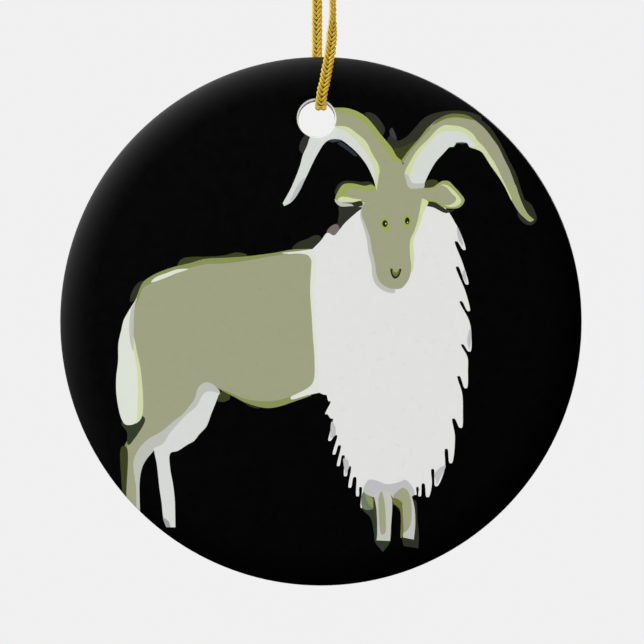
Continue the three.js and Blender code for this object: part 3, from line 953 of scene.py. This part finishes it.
PICTURE = [
    # Shades behind the horns.
    ("bronze", [
        (9.2, 25), (9.9, 26.1), (10.5, 25.1), (11.6, 25.4), (13, 26.8), (14.3, 28.2), (16.3, 29),
        (18.8, 29.25), (20.6, 29.05), (22.3, 28.3), (21.9, 27.4), (18.8, 28.2), (15.6, 26.8),
        (13, 24.2), (11.2, 22, 1), (10.2, 22.8),
    ]),
    ("olive", [(10.1, 23.9), (11, 24.1), (12.4, 24.7), (13.2, 25), (11.2, 21.9, 1)]),
    ("bronze", [(6.1, 28.9), (7.1, 28.9), (8.1, 28.1), (8.9, 26.5), (8.3, 25.6), (6.9, 27.6)]),
    ("dusk", [(9.5, 26.3), (9.8, 26.9), (10.3, 26.1), (10.5, 25.2), (10, 25.4)]),
    ("bronze", [
        (20.9, 28.6), (22.4, 27.9), (23.6, 26.8), (24.9, 24.8), (26, 22.6), (27.1, 20.4),
        (27.8, 18.2), (28.3, 16.6), (27.2, 17.6), (25.4, 21.8), (23.5, 25.2), (21.6, 27.4),
    ]),
    ("bronze", [
        (28, 16.9), (29.1, 16.3), (29.7, 15.2), (29.95, 14.1), (29.2, 13.35), (28.2, 13.6),
        (27.3, 14.8), (27.7, 16.1),
    ]),
    ("bronze", [(-3, 23.8), (-2.7, 25.2), (-2, 25.9), (-1.4, 25.4), (-1.9, 24.2), (-2.4, 23.2)]),
    # Shades round the back, the rump and the belly.
    ("bronze", [
        (-4, 10.1), (-3.1, 11), (-2, 11.4), (-1, 11.9), (-0.2, 11.9), (0.1, 11.3), (-0.8, 10.2),
        (-2.4, 9.7),
    ]),
    ("olive", [
        (-19.9, 7.6), (-19.4, 8.6), (-17.8, 8.95), (-16.1, 8.95), (-13.4, 9.15), (-11.7, 9.55),
        (-10.2, 9.2), (-12, 8.6), (-16, 8.3),
    ]),
    ("bronze", [(-25.6, 3.1), (-26.5, 2.7), (-26, 4.6), (-25.1, 5.5), (-24.2, 5.6), (-24.4, 4.7)]),
    ("olive", [(-14.5, -10.9), (-13.6, -11.2), (-12.6, -10.7), (-12.9, -9.9), (-14, -9.8)]),
    ("bronze", [(-10.9, -11.1), (-9.4, -12), (-8.4, -12), (-8.6, -11.4)]),
    # Locks beside the face and under the left ear.
    ("bronze", [
        (2.6, 16.4), (5, 16.2), (5.6, 15.6), (5, 14.7), (3.9, 14.2), (3.2, 13.3), (2.8, 12.4),
        (2.3, 13.2), (2.5, 14.8),
    ]),
    ("mauve", [(0.8, 12.4), (1.4, 13.2), (2.2, 13.5), (2.6, 12.8), (2.1, 11.8), (1.2, 11.6)]),
    # Long fleece.
    ("fleece", [
        (5.65, 15.6), (4.6, 14.8), (3.2, 13.5), (2.5, 12.6), (1.8, 11.9), (0.9, 12.3), (0, 11.2),
        (-1.1, 10.1, 1), (-1.3, 5), (-1.1, -2), (-1.1, -9.9, 1), *locks(LEFT_FRINGE)[::-1],
        (7, -24.5), (9.4, -23.6), (12, -23.6), *locks(RIGHT_FRINGE)[::-1], (16.6, 16.3),
        (14.5, 16.6), (9, 17),
    ]),
    ("cool_grey", [(18.9, 13.1), (19.35, 12.3), (19.75, 10.4), (19.1, 11.3)]),
    ("cool_grey", [(19.9, 7.2), (20.3, 5.2, 1), (19.6, 6.4)]),
    ("cool_grey", [(20.7, -1), (20.9, -2.4), (20.6, -4, 1), (20.3, -2.8)]),
    ("cool_grey", [(1.5, -13.9), (1.25, -16.4, 1), (2.05, -15.8, 1), (2, -14.6)]),
    ("cool_grey", [(3.15, -19), (3.4, -21.4, 1), (3.95, -20.2, 1), (3.7, -19.2)]),
    ("cool_grey", [(17.3, -20), (16.1, -22.7, 1), (15.7, -21.3, 1), (16.4, -20.4)]),
    # Back, flank and hind leg.
    ("moss", [
        (-1.5, 10.05, 1), (-3.9, 9.95), (-6.5, 9.5), (-10, 9.05), (-12.6, 8.85), (-16.1, 8.65),
        (-18.3, 8.05), (-20.2, 7.6), (-22, 7), (-23.5, 6.3), (-24.7, 5.4), (-25.5, 3.6),
        (-26.2, 1.6), (-26.3, -2), (-25.6, -5.5), (-25.5, -14.2), (-27.3, -17.5), (-27.5, -24, 1),
        (-25.2, -26.4, 1), (-25.3, -22), (-25.6, -19.4), (-23.9, -16.1), (-18, -11), (-16, -8.6),
        (-13.6, -9.7, 1), (-12, -10.5), (-10.9, -11.1), (-9.1, -11.75), (-7.4, -12.05),
        (-5.7, -11.8), (-3.9, -11.2), (-1.9, -10.5), (-1.4, -10.3, 1),
    ]),
    ("bone", [
        (-5.4, 9.45), (-3, 9.75), (-1.1, 10.05, 1), (-0.7, 9), (-0.9, 4), (-0.6, -2),
        (-0.2, -9.9, 1), (-2, -10.3), (-4.2, -10.8), (-3.4, -9), (-2.4, -4), (-2.4, 4), (-3.4, 9),
    ]),
    ("sage", BODY),
    ("grey", [
        (-17.4, -10.4), (-18.2, -11.7), (-19.1, -12.8), (-20.4, -13.8), (-22, -15.2),
        (-23.9, -16.3), (-25.2, -17.6), (-26, -19.4), (-25.9, -21.5), (-25.65, -23),
        (-25.65, -26.2, 1), (-25.15, -26.7, 1), (-25.1, -21.7), (-24.6, -19.8), (-23.5, -18.3),
        (-23, -17.8), (-20, -15.6), (-17, -12), (-15.4, -10.4), (-14, -10.1, 1), (-14.1, -9.6),
        (-15.1, -8.7), (-15.9, -8.45), (-16.7, -8.8), (-17.2, -9.6),
    ]),
    ("bone", [
        (-23.6, 5.4), (-23.1, 6), (-21.3, 6.75), (-20, 7.2), (-18.4, 7.25), (-20.2, 6.6),
        (-21.6, 6),
    ]),
    ("olive", [(-27.65, -17.4), (-27, -17.4), (-27.05, -24.6, 1), (-27.6, -24, 1)]),
    # Tail and its shaded tip.
    ("forest", [
        (-27.7, -14.1), (-26.9, -15.4), (-26.9, -16.9), (-26.7, -17.2), (-25.6, -15.9),
        (-24.6, -14.3), (-24.4, -13.5), (-25.2, -13),
    ]),
    ("pale_lime", [
        (-26, -2.2), (-25.5, -4.4), (-25, -6.8), (-24.9, -13.4), (-25.9, -14.2), (-26.2, -9),
    ]),
    ("bone", [
        (-25.5, 3.3, 1), (-26.7, 1.4), (-27.4, 0.1), (-27.7, -1.2), (-28.1, -3), (-28.15, -5.6),
        (-28.4, -7.7), (-28.4, -9.9), (-28.1, -12), (-27.7, -13.5), (-27.2, -14.3), (-26.5, -14.4),
        (-25.7, -14.1), (-25.45, -12), (-25.5, -7), (-25.9, -4.4), (-26.2, -1.6), (-26, 1.4),
    ]),
    ("grey", [
        (-25.6, 3.1, 1), (-26.3, 1.7), (-26.6, -0.4), (-26.5, -2.6), (-26.05, -4.2), (-26, -1),
        (-25.9, 1.4),
    ]),
    # Inside of the hind leg.
    ("leg", [
        (-15.4, -9.7), (-16.1, -9.9), (-16.7, -10.7), (-17.2, -11.7), (-18.9, -13.2), (-20, -14.4),
        (-21.1, -15.7), (-21.9, -17), (-23.2, -17.6, 1), (-23.1, -18.3), (-22.8, -19.7),
        (-22.4, -23.2), (-22.1, -25.2), (-21.9, -27.2), (-21.5, -28.6, 1), (-20.2, -28.6, 1),
        (-20.3, -24.6), (-20.6, -22.2), (-20.9, -20.6), (-20.9, -18.3), (-19.9, -18),
        (-18.5, -17.1), (-17.6, -16.6), (-16.9, -15.7), (-15.9, -14.6), (-15.2, -12.8),
        (-14.6, -11.3), (-14.1, -10, 1),
    ]),
    ("foot_grey", [(-21.9, -27.3), (-21.5, -28.6, 1), (-20.9, -28.6, 1), (-21.1, -27.8)]),
    # Front legs.
    ("forest", [
        (5.7, -25.9), (6.9, -27.3), (7.4, -29.7), (7.5, -30.6), (8.6, -32, 1), (9.6, -30.6),
        (9.7, -28), (8.5, -25), (7, -24.6),
    ]),
    ("fern", [(5.7, -24), (6.2, -23.4), (7.3, -24.6), (7.5, -25.8), (6.6, -26.2), (5.75, -25.9)]),
    ("moss", [(6.2, -24), (6.6, -24), (7.4, -25.4), (7.3, -25.8), (6.7, -25.5)]),
    ("cool_grey", [
        (5.9, -23.6), (6.6, -22), (7.7, -22.1), (9.1, -22.6), (10.9, -22.3), (11.7, -22),
        (12.5, -22.7), (13, -24), (11, -24.8), (8, -24.6),
    ]),
    ("bronze", [
        (11.2, -29.8), (11.5, -31.2, 1), (13.5, -31.5, 1), (13.6, -30), (13.4, -27.5),
        (13.1, -24.8), (12.4, -25),
    ]),
    ("bronze", [(9.6, -24), (9.9, -24.4), (11.2, -26.7), (10.2, -25.5), (9.8, -25.6)]),
    ("shin", [
        (7.4, -24.2), (7.7, -26), (7.8, -29.7), (7.7, -30.4, 1), (9.6, -30.5, 1), (9.7, -28.9),
        (9.8, -24.4), (9.3, -23.7), (8, -23.6),
    ]),
    ("sage", [
        (8, -24.4), (8.4, -23.6), (8.8, -24.9), (9, -27.4), (8.9, -29.4), (8.4, -29.6),
        (8.1, -28.1), (8, -25.8),
    ]),
    ("olive", [(7.35, -24.4), (7.65, -25.7), (7.7, -27.7), (7.3, -26.2)]),
    ("shin", [
        (12.2, -23.6), (12.9, -25.4), (13.1, -28), (12.9, -30.3, 1), (11.4, -30, 1), (11.3, -28),
        (11.4, -25),
    ]),
    ("sage", [
        (10, -24.4), (10.6, -23.6), (11.4, -23.1), (12.1, -23.6), (12.5, -24.9), (12.6, -26.6),
        (12.4, -28.3), (11.9, -29.1), (11.4, -29.3), (11.4, -26.7), (11.2, -25.1),
    ]),
    ("olive_lime", [
        (9.9, -24.5), (11.1, -25), (11.4, -27.4), (11.4, -29.7), (11.1, -30.1), (11.1, -27.4),
        (10.9, -26), (10, -25.2),
    ]),
    # Left ear.
    ("bronze", [
        (2, 17.6), (2.2, 18.7), (3, 19.4), (4.2, 19.5), (5.4, 19.35), (7, 19.3), (7.4, 18.2),
        (4, 17),
    ]),
    ("grey", [(1.9, 16.9), (2.6, 16), (4.5, 16), (5.9, 15.9), (6.2, 17.2), (3, 17.4)]),
    ("lime", [
        (2, 16.9), (2.4, 18.1), (3.1, 19), (4.1, 19.15), (5.1, 19), (6.1, 18.8), (7.1, 18.95),
        (7.8, 18.2), (7.6, 16.6), (5, 16.6), (2.6, 16.7),
    ]),
    ("pale_lime", [(2.3, 16.75), (2.7, 17.25), (4, 17.2), (5.6, 17), (5.6, 16.6), (4, 16.55)]),
    ("sage", [
        (3.5, 17.5), (3.8, 18.2), (4.8, 18.4), (6, 18.1), (7.7, 18), (7.4, 16.6), (5.6, 16.9),
        (4.2, 17.1),
    ]),
    ("bronze", [(2.9, 16.45), (4.4, 16.5), (5.6, 16.7), (5.8, 16.1), (4.7, 15.9), (4.3, 16.25)]),
    # Right ear.
    ("olive", [(14.2, 18.4), (14.5, 19.35), (15.4, 19.7), (16.3, 19.4), (15.6, 18.4)]),
    ("bronze", [
        (13.9, 16.7), (15.5, 16.7), (16.7, 16), (17.5, 15.5), (18.6, 15.5), (17.4, 15),
        (15.6, 15.8), (14, 16.2),
    ]),
    ("lime", [
        (13.95, 18.5, 1), (15.5, 18.6), (16.1, 19), (16.8, 19.45), (17.7, 19.45), (18.5, 18.7),
        (19.4, 17.7), (19.95, 16.8), (19.6, 16.1), (19, 15.7), (18.2, 15.65), (17.4, 15.7),
        (16.8, 15.9), (16.1, 16.4), (15.5, 16.6), (13.95, 16.6, 1),
    ]),
    ("pale_lime", [
        (16.6, 18.9), (17.5, 18.9), (18.4, 18.2), (19.2, 17.3), (19.5, 16.6), (18.9, 16),
        (17.8, 15.9), (16.9, 16.4),
    ]),
    ("sage", [
        (13.95, 18.3, 1), (15.5, 18.35), (16.6, 18.9), (17.4, 18.6), (18.2, 17.7), (18.8, 17),
        (18.4, 16.4), (17.7, 16.1), (16.7, 16.3), (15.5, 16.85), (13.9, 16.9, 1),
    ]),
    # Left horn, from its bright rim inwards.
    ("lime", [
        (-0.6, 29.5), (2.1, 29.65), (3.5, 29.6), (4.5, 29.35), (5.4, 28.95), (6.3, 28.35),
        (7.3, 27.25), (8.3, 25.95), (9.1, 25), (9.9, 24), (10.5, 22.9), (11.2, 22.3, 1),
        (11.2, 20, 1), (7.7, 18.1, 1), *LEFT_HORN_INNER,
    ]),
    ("sage", [
        (-0.6, 28.85), (2.1, 29), (3.5, 28.9), (4.6, 28.45), (5.7, 27.75), (6.8, 26.7),
        (7.7, 25.4), (8.5, 24.4), (9.3, 23.3), (10.1, 22.2), (11.2, 21.9, 1), (11.6, 20, 1),
        (7.7, 18.1, 1), *LEFT_HORN_INNER,
    ]),
    ("pale_lime", [
        (-0.6, 27.1), (2.1, 27.1), (3.6, 27), (5.1, 26), (6.3, 24.9), (7.1, 23.3), (8, 21.7),
        (8.15, 20.7), (8.1, 18.9), (7.7, 18.1, 1), *LEFT_HORN_INNER,
    ]),
    ("horn", [
        (-0.6, 26.8), (3, 26.6), (4.4, 25.6), (5.9, 23.9), (6.9, 22.3), (7.4, 20.9),
        (7.5, 19.2, 1), *LEFT_HORN_INNER,
    ]),
    ("slate", [
        (2.6, 24.95), (3.3, 24.6), (4.3, 23.8), (5.1, 22.9), (4.7, 22.9), (3.7, 23.7), (2.8, 24.3),
        (2.3, 24.7),
    ]),
    ("dusk", [(1.1, 25), (2, 25.3), (3, 25.1), (2.4, 24.95), (1.4, 24.85)]),
    ("cool_grey", [(-3.7, 17), (-2.6, 18.8), (-2.2, 20), (-2.9, 19.3), (-3.7, 18), (-4.3, 16.6)]),
    # Right horn.
    ("sage", [*RIGHT_HORN_OUTER, *RIGHT_HORN_INNER]),
    ("soft_lime", [
        (25.9, 19.2), (26.85, 19.1), (27.5, 17.5), (28.1, 16), (28.8, 14.8), (29.6, 14.1, 1),
        (29.1, 13.8), (28.2, 14.4), (27.3, 15.6), (26.3, 17.6),
    ]),
    ("olive_lime", [
        (15.4, 27.2), (16.3, 28.1), (17.7, 28.72), (18.8, 28.82), (20.3, 28.6), (21.4, 27.9),
        (20.3, 28.1), (18.8, 28.3), (17.3, 28.1),
    ]),
    ("sage", [
        (11.2, 21.4, 1), (12.2, 22.9), (13.8, 24.7), (15.3, 26.4), (16.5, 27.5), (18, 28.1),
        (19.3, 28), (20.5, 27.7), (21.6, 26.9), (22.7, 25.7), (23.6, 24.4), (24.5, 22.9),
        (25.3, 21), (25.4, 19.5), (24, 21), (21, 25), (18, 26), (14, 22), (12.3, 19),
        (11.4, 19.2, 1),
    ]),
    ("moss", [
        (11.2, 22.4, 1), (12.2, 23.75), (13.7, 25.45), (15.1, 27.1), (15.3, 26.95), (13.8, 25.2),
        (12.3, 23.4), (11.3, 21.9, 1),
    ]),
    ("pale_lime", [
        (11.6, 20.4), (12.4, 22.2), (13.4, 23.8), (15, 25.4), (16.2, 26.7), (17.1, 27.2),
        (18.2, 27.2), (19.4, 27), (20.3, 26.6), (21.2, 25.9), (21.7, 25.1), (22.6, 24.2),
        (23.3, 23.2), (24.1, 22), (24.8, 20.6), (25.6, 18.9), (26.5, 17), *RIGHT_HORN_INNER[2:],
        (13.4, 18.5), (12.2, 18.6),
    ]),
    ("horn", [
        (11.9, 19.4), (12.5, 20.7), (12.9, 21.9), (13.8, 23.4), (15.3, 25.1), (16.5, 26.2),
        (17.7, 26.4), (18.8, 26.4), (20, 26), (20.9, 25.1), (21.5, 24.3), *RIGHT_HORN_INNER[8:],
        (13.4, 18.5), (12.3, 18.6),
    ]),
    ("grey", [
        (11.5, 20.4), (11.8, 19.2), (12.3, 18.4), (14.1, 18.3), (14.4, 19.1), (12.7, 19.2),
        (12, 20.4),
    ]),
    ("dusk", [(18.6, 24.75), (19.4, 24.85), (20.3, 24.75), (19.6, 24.6)]),
    ("sage", [(8.6, 20), (9.6, 21.6), (10.6, 22.1), (11.2, 22.1), (11.5, 20.8), (11.4, 19.4)]),
    # Face, with its shaded left side and bright right side.
    ("grey", [
        (5.6, 15.6), (5.45, 14.6), (5.8, 13.4), (6.35, 11.4), (6.6, 9.5), (7, 7.9), (7.15, 6.2),
        (7.7, 5), (9, 4.1), (10.3, 4), (9.5, 6), (7.6, 16), (6.5, 16.6),
    ]),
    ("pale_lime", [
        (12.6, 6.8), (12.95, 8.2), (12.85, 11.3), (13.4, 12.6), (13.9, 13.9), (14.3, 15.3),
        (14.9, 16.6), (13.2, 17), (11.6, 12), (11.8, 7),
    ]),
    ("sage", FACE),
    ("lime", [
        (8.2, 13.6), (8.35, 14.2), (8.9, 14.45), (9.45, 14.15), (9.6, 13.5), (9.4, 12.8),
        (9, 12, 1), (8.6, 12.8),
    ]),
    ("lime", [
        (11.4, 14), (11.55, 14.6), (12, 14.85), (12.45, 14.6), (12.6, 13.9), (12.4, 13.1),
        (11.9, 12.85), (11.5, 13.3),
    ]),
    ("pupil", [
        (8.5, 13.55), (8.65, 13.95), (8.9, 14.05), (9.2, 13.85), (9.25, 13.4), (9.05, 13.1),
        (8.75, 13.1),
    ]),
    ("pupil", [
        (11.65, 13.95), (11.8, 14.35), (12, 14.45), (12.25, 14.25), (12.3, 13.8), (12.1, 13.45),
        (11.8, 13.5),
    ]),
    ("glint", [(8.9, 13.55), (9, 13.7), (9.12, 13.55), (9, 13.4)]),
    ("glint", [(11.93, 13.75), (12.03, 13.87), (12.12, 13.72), (12.02, 13.6)]),
    ("pupil", [
        (9.65, 7.35), (9.75, 6.5), (10.2, 5.9), (10.8, 6.2), (11.15, 7.3), (10.85, 7.25),
        (10.6, 6.75), (10.3, 6.55), (10.05, 6.8), (9.95, 7.3),
    ]),
    ("olive_lime", [
        (9.85, 7.25), (9.95, 6.6), (10.3, 6.2), (10.7, 6.45), (10.95, 7.2), (10.75, 7),
        (10.4, 6.75), (10.1, 6.9),
    ]),
    ("lime", [(10, 7.05), (10.4, 7.35), (10.8, 7.05), (10.4, 6.85)]),
]


def smooth_outline(points, spacing=0.45):
    """A closed outline through the points: smooth between corners, as places in metres."""
    count = len(points)
    flat = [Vector(p[:2]) for p in points]
    sharp = [len(p) > 2 for p in points]
    made = []
    for i in range(count):
        p1, p2 = flat[i], flat[(i + 1) % count]
        p0 = p1 * 2 - p2 if sharp[i] else flat[i - 1]
        p3 = p2 * 2 - p1 if sharp[(i + 1) % count] else flat[(i + 2) % count]
        steps = max(1, min(8, math.ceil((p2 - p1).length / spacing)))
        made += [(c.x * MM, c.y * MM) for c in along_curve(p0, p1, p2, p3, steps)]
    return made


def fired_ink():
    """Screen-printed ceramic ink, fired on: satin black and flat colours, each a little mottled
    where the ink lay thicker, under a thin clear flux with a soft gloss."""
    material, tree, output = new_material("fired_screen_ink")
    where = add_node(tree, "ShaderNodeTexCoord").outputs["Object"]
    ink = add_node(tree, "ShaderNodeAttribute", attribute_name="ink").outputs["Color"]
    # Mottle is about 1.2 mm across and the screen's grain about 0.18 mm.
    mottle = add_node(
        tree,
        "ShaderNodeTexNoise",
        {"Vector": where, "Scale": 1 / (1.2 * MM), "Detail": 2.0, "Roughness": 0.5},
    )
    grain = add_node(
        tree, "ShaderNodeTexNoise", {"Vector": where, "Scale": 1 / (0.18 * MM), "Detail": 1.0}
    )
    shade = add_node(
        tree,
        "ShaderNodeMath",
        {0: grain.outputs[0], 1: 0.35, 2: mottle.outputs[0]},
        operation="MULTIPLY_ADD",
    )
    level = add_node(
        tree,
        "ShaderNodeMapRange",
        {"Value": shade.outputs[0], "From Min": 0.3, "From Max": 1.05, "To Min": 0.985, "To Max": 1.015},
    )
    tone = add_node(
        tree, "ShaderNodeVectorMath", {0: ink, "Scale": level.outputs[0]}, operation="SCALE"
    )
    gloss = add_node(
        tree,
        "ShaderNodeMapRange",
        {"Value": mottle.outputs[0], "From Min": 0.3, "From Max": 0.7, "To Min": 0.27, "To Max": 0.34},
    )
    bump = add_node(
        tree,
        "ShaderNodeBump",
        {"Strength": 0.03, "Distance": 0.02 * MM, "Height": mottle.outputs[0]},
    )
    shader = add_node(
        tree,
        "ShaderNodeBsdfPrincipled",
        {
            "Base Color": tone.outputs[0],
            "Roughness": gloss.outputs[0],
            "IOR": 1.5,
            "Normal": bump.outputs[0],
        },
    )
    tree.links.new(shader.outputs[0], output.inputs[0])
    return material


class ORNAMENT_OT_print(bpy.types.Operator):
    """Print the ink film with the picture over the front face and its round edge"""

    bl_idname = "ornament.print"
    bl_label = "Printed face"

    def execute(self, context):
        sizes = context.scene.ornament_disc
        inks = context.scene.ornament_inks
        depth = disc_profile(sizes)
        hole_centre = (-sizes.hole_x, sizes.height / 2 - sizes.hole_below)
        hole_radius = sizes.hole / 2 + sizes.film_margin
        hole = ring(hole_centre, hole_radius, hole_radius, HOLE_SEGMENTS)
        mid_radius = hole_radius + 0.08 * MM
        hole_mid = ring(hole_centre, mid_radius, mid_radius, HOLE_SEGMENTS)
        rings = rim_rings(sizes)
        outlines = [(name, smooth_outline(points)) for name, points in PICTURE]
        places, triangles = triangulate([*rings, hole, hole_mid, *[o for _, o in outlines]])
        xs, zs = centres(places, triangles)
        keep = inside(rings[-1], xs, zs) & ~inside(hole, xs, zs)
        colour_of = np.zeros(len(triangles), int)
        for number, (_, outline) in enumerate(outlines, 1):
            colour_of[inside(outline, xs, zs)] = number
        squeeze = sizes.width / sizes.height
        radius = sizes.height / 2
        verts, ways = [], []
        for p in places:
            verts.append(
                Vector((DISC_CENTRE.x + p.x, DISC_LOW.y + depth(p.x, p.y), DISC_CENTRE.z + p.y))
            )
            if math.hypot(p.x / squeeze, p.y) > radius * 0.999:
                ways.append(Vector((p.x, 0, p.y)).normalized())
            elif math.hypot(p.x, p.y) < radius - sizes.edge_round:
                ways.append(Vector((0, -1, 0)))
            else:
                ways.append(outward(p.x, p.y, depth))
        faces, colours, edges = [], [], {}
        for (a, b, c), kept, number in zip(triangles, keep, colour_of):
            if kept:
                faces.append((a, b, c))
                colours.append(number)
                for edge in ((a, b), (b, c), (c, a)):
                    edges[edge] = number
        skirt, border = {}, []
        for (a, b), number in edges.items():
            if (b, a) in edges:
                continue
            if min(math.hypot(places[i].x / squeeze, places[i].y) for i in (a, b)) < radius * 0.9:
                border.append((a, b, number))
                continue
            for i in (a, b):
                if i not in skirt:
                    skirt[i] = len(verts)
                    verts.append(verts[i] + Vector((0, sizes.film_skirt, 0)))
                    ways.append(ways[i])
            faces.append((b, a, skirt[a], skirt[b]))
            colours.append(number)
            border.append((skirt[a], skirt[b], number))
        count = len(verts)
        inner = sizes.film_stand - sizes.film_depth
        shell = [v + w * sizes.film_stand for v, w in zip(verts, ways)]
        shell += [v + w * inner for v, w in zip(verts, ways)]
        faces += [tuple(count + i for i in reversed(f)) for f in faces]
        colours += colours
        for a, b, number in border:
            faces.append((b, a, count + a, count + b))
            colours.append(number)
        used = sorted({i for f in faces for i in f})
        renumber = {old: new for new, old in enumerate(used)}
        mesh = bpy.data.meshes.new("printed_face")
        mesh.from_pydata(
            [shell[i] for i in used], [], [tuple(renumber[i] for i in f) for f in faces]
        )
        palette = [rgba(inks.ground)] + [rgba(getattr(inks, name)) for name, _ in outlines]
        layer = mesh.color_attributes.new("ink", "FLOAT_COLOR", "CORNER")
        flat = []
        for polygon, number in zip(mesh.polygons, colours):
            flat += list(palette[number]) * polygon.loop_total
        layer.data.foreach_set("color", flat)
        shade(mesh)
        film = link_object("printed_face", mesh, fired_ink())
        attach(film, "ornament")
        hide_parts("printed_film")
        return {"FINISHED"}


# ---------------------------------------------------------------- stage

FLOOR_Z = -0.45
FLOOR_REACH = 2.6
STUDIO_GREY = "#f0f0f0"
SOFTBOX_SIZE = 0.9
KEY_POWER, BACK_POWER = 12, 8
SOFT_LIGHT_WAY = (-0.643, 0.0, 0.766)  # above and to the left
SOFT_LIGHT_POWER = 1.55


def area_light(name, place, aim, size, power, mirrored):
    """A square softbox that faces the aim, seen in glossy surfaces or not."""
    data = bpy.data.lights.new(name, "AREA")
    data.shape, data.size, data.energy = "SQUARE", size, power
    light = bpy.data.objects.new(name, data)
    light.location = place
    light.visible_glossy = mirrored
    light.rotation_euler = (Vector(aim) - Vector(place)).to_track_quat("-Z", "Y").to_euler()
    bpy.context.scene.collection.objects.link(light)


class ORNAMENT_OT_stage(bpy.types.Operator):
    """Add the pale floor, the softboxes and the even studio surround"""

    bl_idname = "ornament.stage"
    bl_label = "Stage"

    def execute(self, context):
        mesh = bpy.data.meshes.new("floor")
        edge = ring((0, 0), FLOOR_REACH, FLOOR_REACH, 64)
        mesh.from_pydata([(x, y, FLOOR_Z) for x, y in edge], [], [tuple(range(len(edge)))])
        material, tree, output = new_material("matt_studio_floor")
        shader = add_node(
            tree,
            "ShaderNodeBsdfPrincipled",
            {"Base Color": rgba(srgb("#f2f2f2")), "Roughness": 0.9},
        )
        tree.links.new(shader.outputs[0], output.inputs[0])
        floor = link_object("floor", mesh, material)
        floor.visible_glossy = False  # the satin black face shows no floor
        aim = DISC_CENTRE
        key_place = aim + Vector((-0.95, -0.75, 1.05))
        back_place = aim + Vector((0.7, 1.3, 0.8))
        area_light("key_softbox", key_place, aim, SOFTBOX_SIZE, KEY_POWER, False)
        area_light("back_softbox", back_place, aim, SOFTBOX_SIZE, BACK_POWER, True)
        world = bpy.data.worlds.new("studio")
        context.scene.world = world
        world.use_nodes = True
        world.cycles.sampling_method = "NONE"  # the surround is even, so its rays need no aiming
        tree = world.node_tree
        tree.nodes.clear()
        rays = add_node(tree, "ShaderNodeLightPath").outputs

        def background(strength):
            return add_node(
                tree,
                "ShaderNodeBackground",
                {"Color": rgba(srgb(STUDIO_GREY)), "Strength": strength},
            ).outputs[0]

        # Glossy surfaces show one wide soft light, above and to the left, that fades out evenly.
        way = add_node(tree, "ShaderNodeTexCoord").outputs["Generated"]
        toward = add_node(
            tree, "ShaderNodeVectorMath", {0: way, 1: SOFT_LIGHT_WAY}, operation="DOT_PRODUCT"
        ).outputs["Value"]
        lit = add_node(tree, "ShaderNodeMath", {0: toward, 1: 0.0}, operation="MAXIMUM").outputs[0]
        fade = add_node(tree, "ShaderNodeMath", {0: lit, 1: 2.0}, operation="POWER").outputs[0]
        power = add_node(
            tree, "ShaderNodeMath", {0: fade, 1: SOFT_LIGHT_POWER}, operation="MULTIPLY"
        ).outputs[0]
        soft = add_node(
            tree,
            "ShaderNodeMixShader",
            {0: rays["Is Glossy Ray"], 1: background(0.93), 2: background(power)},
        )
        whole = add_node(
            tree,
            "ShaderNodeMixShader",
            {0: rays["Is Camera Ray"], 1: soft.outputs[0], 2: background(1.0)},
        )
        add_node(tree, "ShaderNodeOutputWorld", {0: whole.outputs[0]})
        context.scene.view_settings.view_transform = "Standard"
        return {"FINISHED"}


# ---------------------------------------------------------------- panel and registration

STEPS = (ORNAMENT_OT_camera, ORNAMENT_OT_cord, ORNAMENT_OT_disc, ORNAMENT_OT_print, ORNAMENT_OT_stage)
GROUPS = {"ornament_disc": DiscSizes, "ornament_inks": PrintInks, "ornament_cord": CordSizes}


class ORNAMENT_PT_build(bpy.types.Panel):
    """Sizes, colours and building steps of the ornament"""

    bl_idname = "ORNAMENT_PT_build"
    bl_label = "Ceramic Disc Ornament"
    bl_space_type = "VIEW_3D"
    bl_region_type = "UI"
    bl_category = "Ornament"

    def draw(self, context):
        for name, group in GROUPS.items():
            box = self.layout.box()
            box.label(text=group.__doc__)
            for key in group.__annotations__:
                box.prop(getattr(context.scene, name), key)
        for step in STEPS:
            self.layout.operator(step.bl_idname)


CLASSES = (*GROUPS.values(), *STEPS, ORNAMENT_PT_build)


def register():
    for item in CLASSES:
        bpy.utils.register_class(item)
    for name, group in GROUPS.items():
        setattr(bpy.types.Scene, name, PointerProperty(type=group))


def unregister():
    for name in GROUPS:
        delattr(bpy.types.Scene, name)
    for item in reversed(CLASSES):
        bpy.utils.unregister_class(item)


def main():
    register()
    bpy.ops.ornament.camera()
    bpy.ops.ornament.cord()
    bpy.ops.ornament.disc()
    bpy.ops.ornament.print()
    bpy.ops.ornament.stage()


if __name__ == "__main__":
    main()
